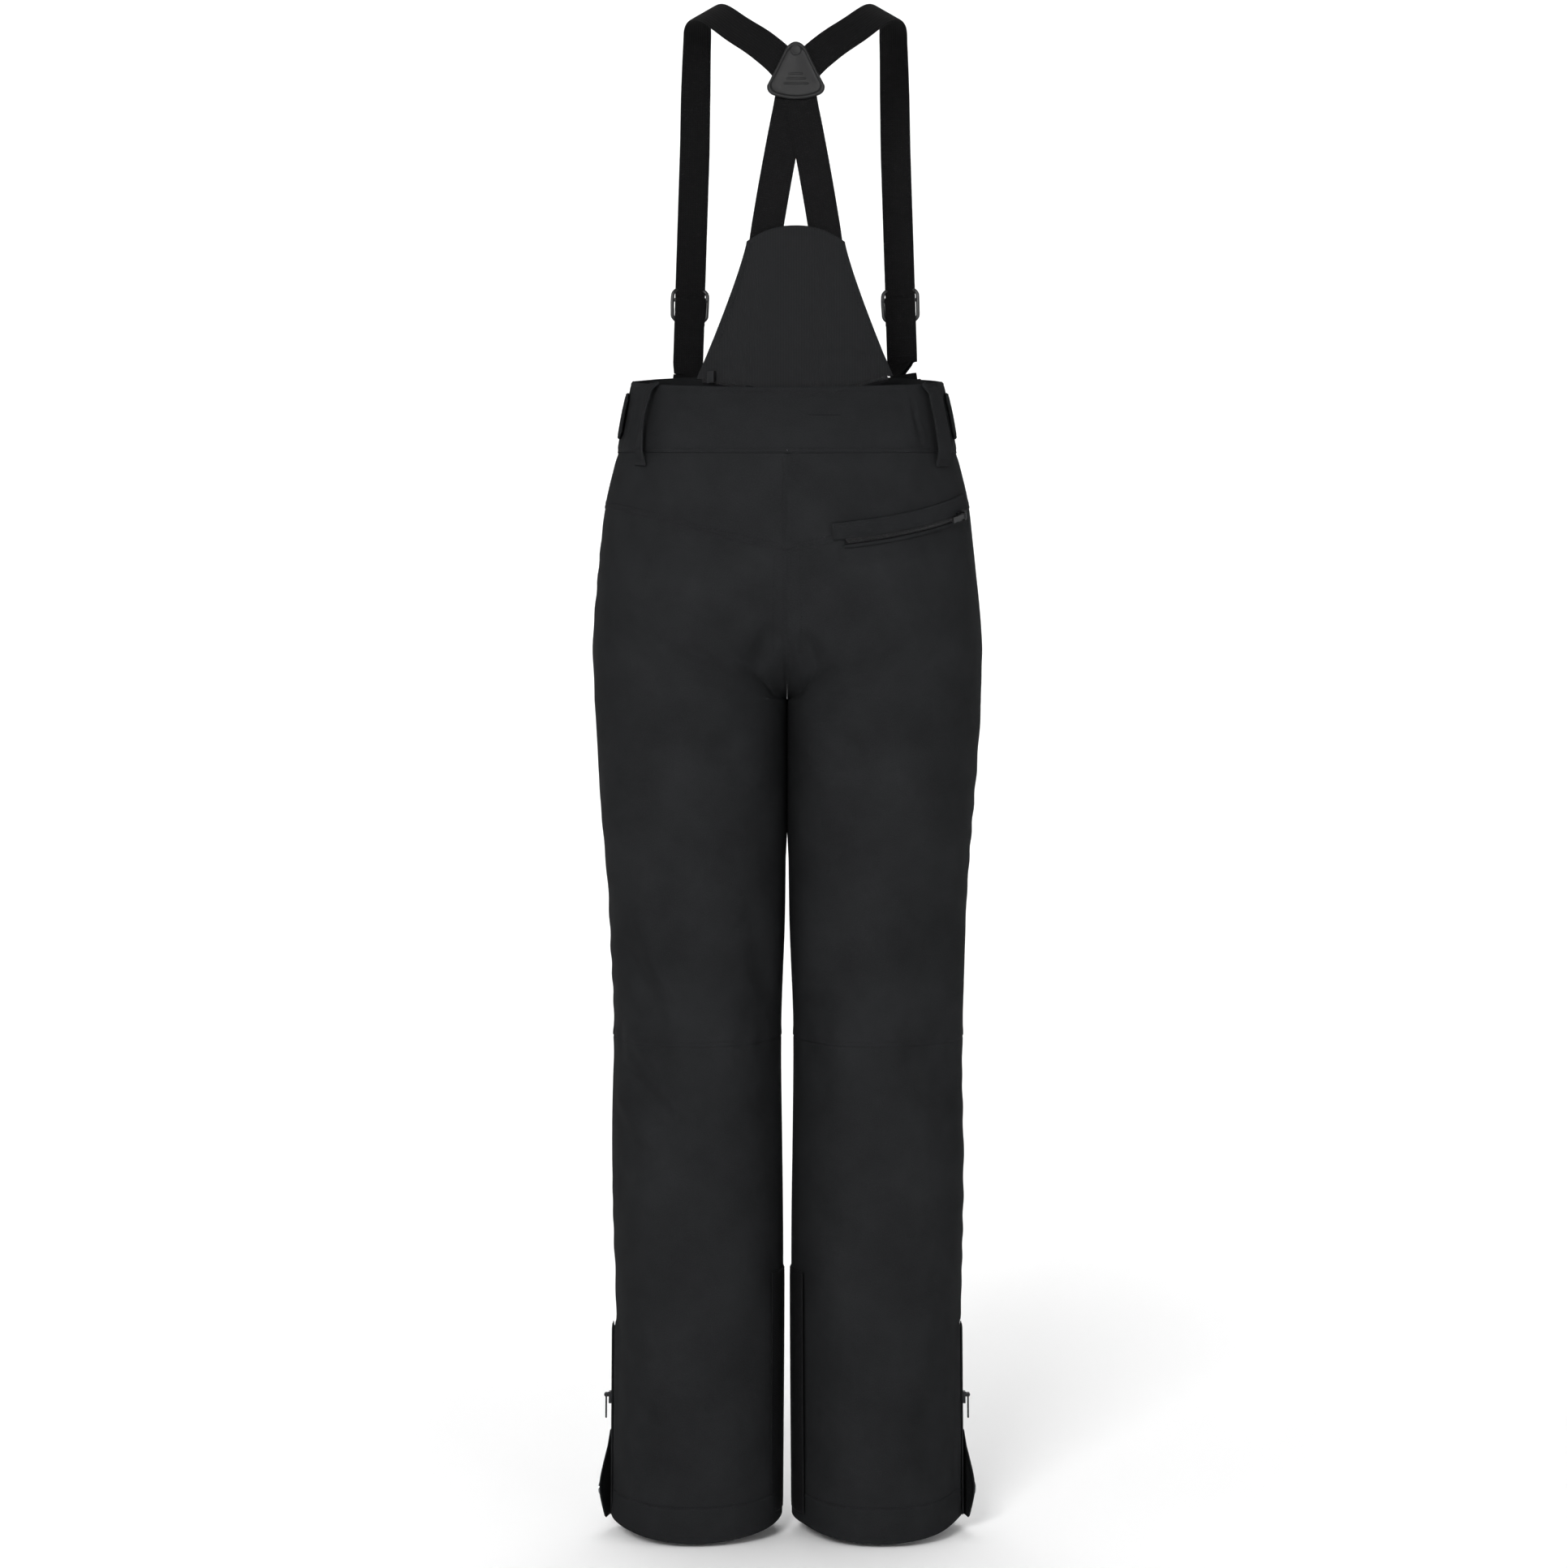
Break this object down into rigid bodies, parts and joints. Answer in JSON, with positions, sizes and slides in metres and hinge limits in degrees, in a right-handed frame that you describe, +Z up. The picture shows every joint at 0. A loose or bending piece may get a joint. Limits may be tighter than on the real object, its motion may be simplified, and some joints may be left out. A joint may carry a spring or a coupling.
{
  "type": "ski pants",
  "caption": "Full-length ski pants with a stretch back bib, crossed suspenders with sliding adjusters, zips with pullers and ankle flaps.",
  "frame": {"origin": "middle of the waist, level with the top of the waistband at the sides", "axes": "+Z up towards the shoulders, +Y towards the front of the pants, +X towards the wearer's right"},
  "size_m": [0.3734, 0.2541, 1.4582],
  "materials": {
    "band_fabric": "smooth matt bonded woven",
    "softshell": "smooth matt softshell",
    "stretch_fabric": "ribbed elastic stretch woven",
    "webbing": "matt elastic webbing",
    "moulded_patch": "matt moulded with a raised rim",
    "gloss_plastic": "glossy moulded",
    "metal": "satin",
    "zip_tape": "coated tape with moulded coil",
    "trim": "matt",
    "guard": "tightly woven abrasion cloth",
    "liner": "coated nylon"
  },
  "bodies": {
    "pants_body": {"waistband_back": "band_fabric", "waistband_front_left": "band_fabric", "waistband_front_right": "band_fabric", "back_yoke": "band_fabric", "seat_left": "softshell", "seat_right": "softshell", "front_left": "softshell", "front_right": "softshell", "belt_loop_left": "softshell", "belt_loop_right": "softshell", "closure_tab": "band_fabric", "closure_snap": "metal", "back_pocket_welt": "band_fabric", "back_pocket_zip_chain": "zip_tape", "fly_zip_chain": "zip_tape", "hand_pocket_left_zip_chain": "zip_tape", "hand_pocket_right_zip_chain": "zip_tape"},
    "suspenders": {"back_bib": "stretch_fabric", "bib_zip_slider": "metal", "strap_left": "webbing", "strap_right": "webbing", "strap_return_left": "webbing", "strap_return_right": "webbing", "cross_patch": "moulded_patch", "strap_clip_left": "gloss_plastic", "strap_clip_right": "gloss_plastic"},
    "adjuster_left": {"adjuster_left": "gloss_plastic"},
    "waist_tab_left": {"waist_tab_left": "trim"},
    "adjuster_right": {"adjuster_right": "gloss_plastic"},
    "waist_tab_right": {"waist_tab_right": "trim"},
    "thigh_left": {"thigh_back_left": "softshell", "thigh_front_left": "softshell"},
    "shin_left": {"shin_back_left": "softshell", "shin_front_left": "softshell", "scuff_guard_left": "guard", "snow_gaiter_left": "liner", "ankle_left_zip_chain": "zip_tape"},
    "ankle_flap_left": {"ankle_flap_left": "softshell", "ankle_snap_left": "metal"},
    "thigh_right": {"thigh_back_right": "softshell", "thigh_front_right": "softshell"},
    "shin_right": {"shin_back_right": "softshell", "shin_front_right": "softshell", "scuff_guard_right": "guard", "snow_gaiter_right": "liner", "ankle_right_zip_chain": "zip_tape"},
    "ankle_flap_right": {"ankle_flap_right": "softshell", "ankle_snap_right": "metal"},
    "fly_slider": {"fly_zip_slider": "metal"},
    "fly_puller": {"fly_zip_puller": "trim"},
    "hand_pocket_left_slider": {"hand_pocket_left_zip_slider": "metal"},
    "hand_pocket_left_puller": {"hand_pocket_left_zip_puller": "trim"},
    "hand_pocket_right_slider": {"hand_pocket_right_zip_slider": "metal"},
    "hand_pocket_right_puller": {"hand_pocket_right_zip_puller": "trim"},
    "ankle_zip_left_slider": {"ankle_left_zip_slider": "metal"},
    "ankle_zip_left_puller": {"ankle_left_zip_puller": "trim"},
    "ankle_zip_right_slider": {"ankle_right_zip_slider": "metal"},
    "ankle_zip_right_puller": {"ankle_right_zip_puller": "trim"},
    "back_pocket_slider": {"back_pocket_zip_slider": "metal"},
    "back_pocket_puller": {"back_pocket_zip_puller": "trim"}
  },
  "joints": [
    {"name": "suspenders_fold", "type": "hinge", "parent": "pants_body", "child": "suspenders", "pos_m": [0.008, -0.105, -0.006], "axis": [1, 0, 0], "range_deg": [0, 110]},
    {"name": "adjuster_left_slide", "type": "slide", "parent": "suspenders", "child": "adjuster_left", "axis": [0.032, 0, 0.9995], "range_m": [-0.004, 0.11], "deforming": ["strap_return_left"]},
    {"name": "waist_tab_left_open", "type": "hinge", "parent": "pants_body", "child": "waist_tab_left", "pos_m": [-0.15124, 0.04189, -0.02937], "axis": [0, 0, -1], "range_deg": [0, 60]},
    {"name": "adjuster_right_slide", "type": "slide", "parent": "suspenders", "child": "adjuster_right", "axis": [-0.032, 0, 0.9995], "range_m": [-0.004, 0.11], "deforming": ["strap_return_right"]},
    {"name": "waist_tab_right_open", "type": "hinge", "parent": "pants_body", "child": "waist_tab_right", "pos_m": [0.15124, 0.04189, -0.02937], "axis": [0, 0, 1], "range_deg": [0, 60]},
    {"name": "hip_left", "type": "hinge", "parent": "pants_body", "child": "thigh_left", "pos_m": [-0.0929, 0.1175, -0.306], "axis": [1, 0, 0], "range_deg": [0, 65]},
    {"name": "knee_left", "type": "hinge", "parent": "thigh_left", "child": "shin_left", "pos_m": [-0.0867, -0.0885, -0.628], "axis": [-1, 0, 0], "range_deg": [0, 90]},
    {"name": "ankle_flap_left_open", "type": "hinge", "parent": "shin_left", "child": "ankle_flap_left", "pos_m": [-0.16629, 0.02458, -1.04898], "axis": [0, 0, -1], "range_deg": [0, 80]},
    {"name": "hip_right", "type": "hinge", "parent": "pants_body", "child": "thigh_right", "pos_m": [0.0929, 0.1175, -0.306], "axis": [1, 0, 0], "range_deg": [0, 65]},
    {"name": "knee_right", "type": "hinge", "parent": "thigh_right", "child": "shin_right", "pos_m": [0.0867, -0.0885, -0.628], "axis": [-1, 0, 0], "range_deg": [0, 90]},
    {"name": "ankle_flap_right_open", "type": "hinge", "parent": "shin_right", "child": "ankle_flap_right", "pos_m": [0.16629, 0.02458, -1.04898], "axis": [0, 0, 1], "range_deg": [0, 80]},
    {"name": "fly_slide", "type": "slide", "parent": "pants_body", "child": "fly_slider", "axis": [0, -0.0217, -0.9998], "range_m": [-0.003, 0.104]},
    {"name": "fly_puller_swing", "type": "hinge", "parent": "fly_slider", "child": "fly_puller", "pos_m": [0, 0.12371, -0.09565], "axis": [1, 0, 0], "range_deg": [0, 110]},
    {"name": "hand_pocket_left_slide", "type": "slide", "parent": "pants_body", "child": "hand_pocket_left_slider", "axis": [-0.0869, 0.1081, -0.9903], "range_m": [-0.003, 0.117]},
    {"name": "hand_pocket_left_puller_swing", "type": "hinge", "parent": "hand_pocket_left_slider", "child": "hand_pocket_left_puller", "pos_m": [-0.15557, 0.07156, -0.10844], "axis": [0.6369, 0.7704, 0.0282], "range_deg": [0, 110]},
    {"name": "hand_pocket_right_slide", "type": "slide", "parent": "pants_body", "child": "hand_pocket_right_slider", "axis": [0.0869, 0.1081, -0.9903], "range_m": [-0.003, 0.117]},
    {"name": "hand_pocket_right_puller_swing", "type": "hinge", "parent": "hand_pocket_right_slider", "child": "hand_pocket_right_puller", "pos_m": [0.15557, 0.07156, -0.10844], "axis": [0.6369, -0.7704, -0.0282], "range_deg": [0, 110]},
    {"name": "ankle_zip_left_slide", "type": "slide", "parent": "shin_left", "child": "ankle_zip_left_slider", "axis": [-0.0073, 0, -1], "range_m": [-0.058, 0.005]},
    {"name": "ankle_zip_left_puller_swing", "type": "hinge", "parent": "ankle_zip_left_slider", "child": "ankle_zip_left_puller", "pos_m": [-0.17379, 0, -0.97345], "axis": [0, 1, 0], "range_deg": [0, 110]},
    {"name": "ankle_zip_right_slide", "type": "slide", "parent": "shin_right", "child": "ankle_zip_right_slider", "axis": [0.0073, 0, -1], "range_m": [-0.058, 0.005]},
    {"name": "ankle_zip_right_puller_swing", "type": "hinge", "parent": "ankle_zip_right_slider", "child": "ankle_zip_right_puller", "pos_m": [0.17379, 0, -0.97345], "axis": [0, -1, 0], "range_deg": [0, 110]},
    {"name": "back_pocket_slide", "type": "hinge", "parent": "pants_body", "child": "back_pocket_slider", "pos_m": [0.04174, 0.01614, -0.1243], "axis": [-0.0907, -0.2703, 0.9585], "range_deg": [-49, 4]},
    {"name": "back_pocket_puller_swing", "type": "hinge", "parent": "back_pocket_slider", "child": "back_pocket_puller", "pos_m": [0.16764, -0.05836, -0.13339], "axis": [-0.0907, -0.2703, 0.9585], "range_deg": [0, 100]}
  ]
}
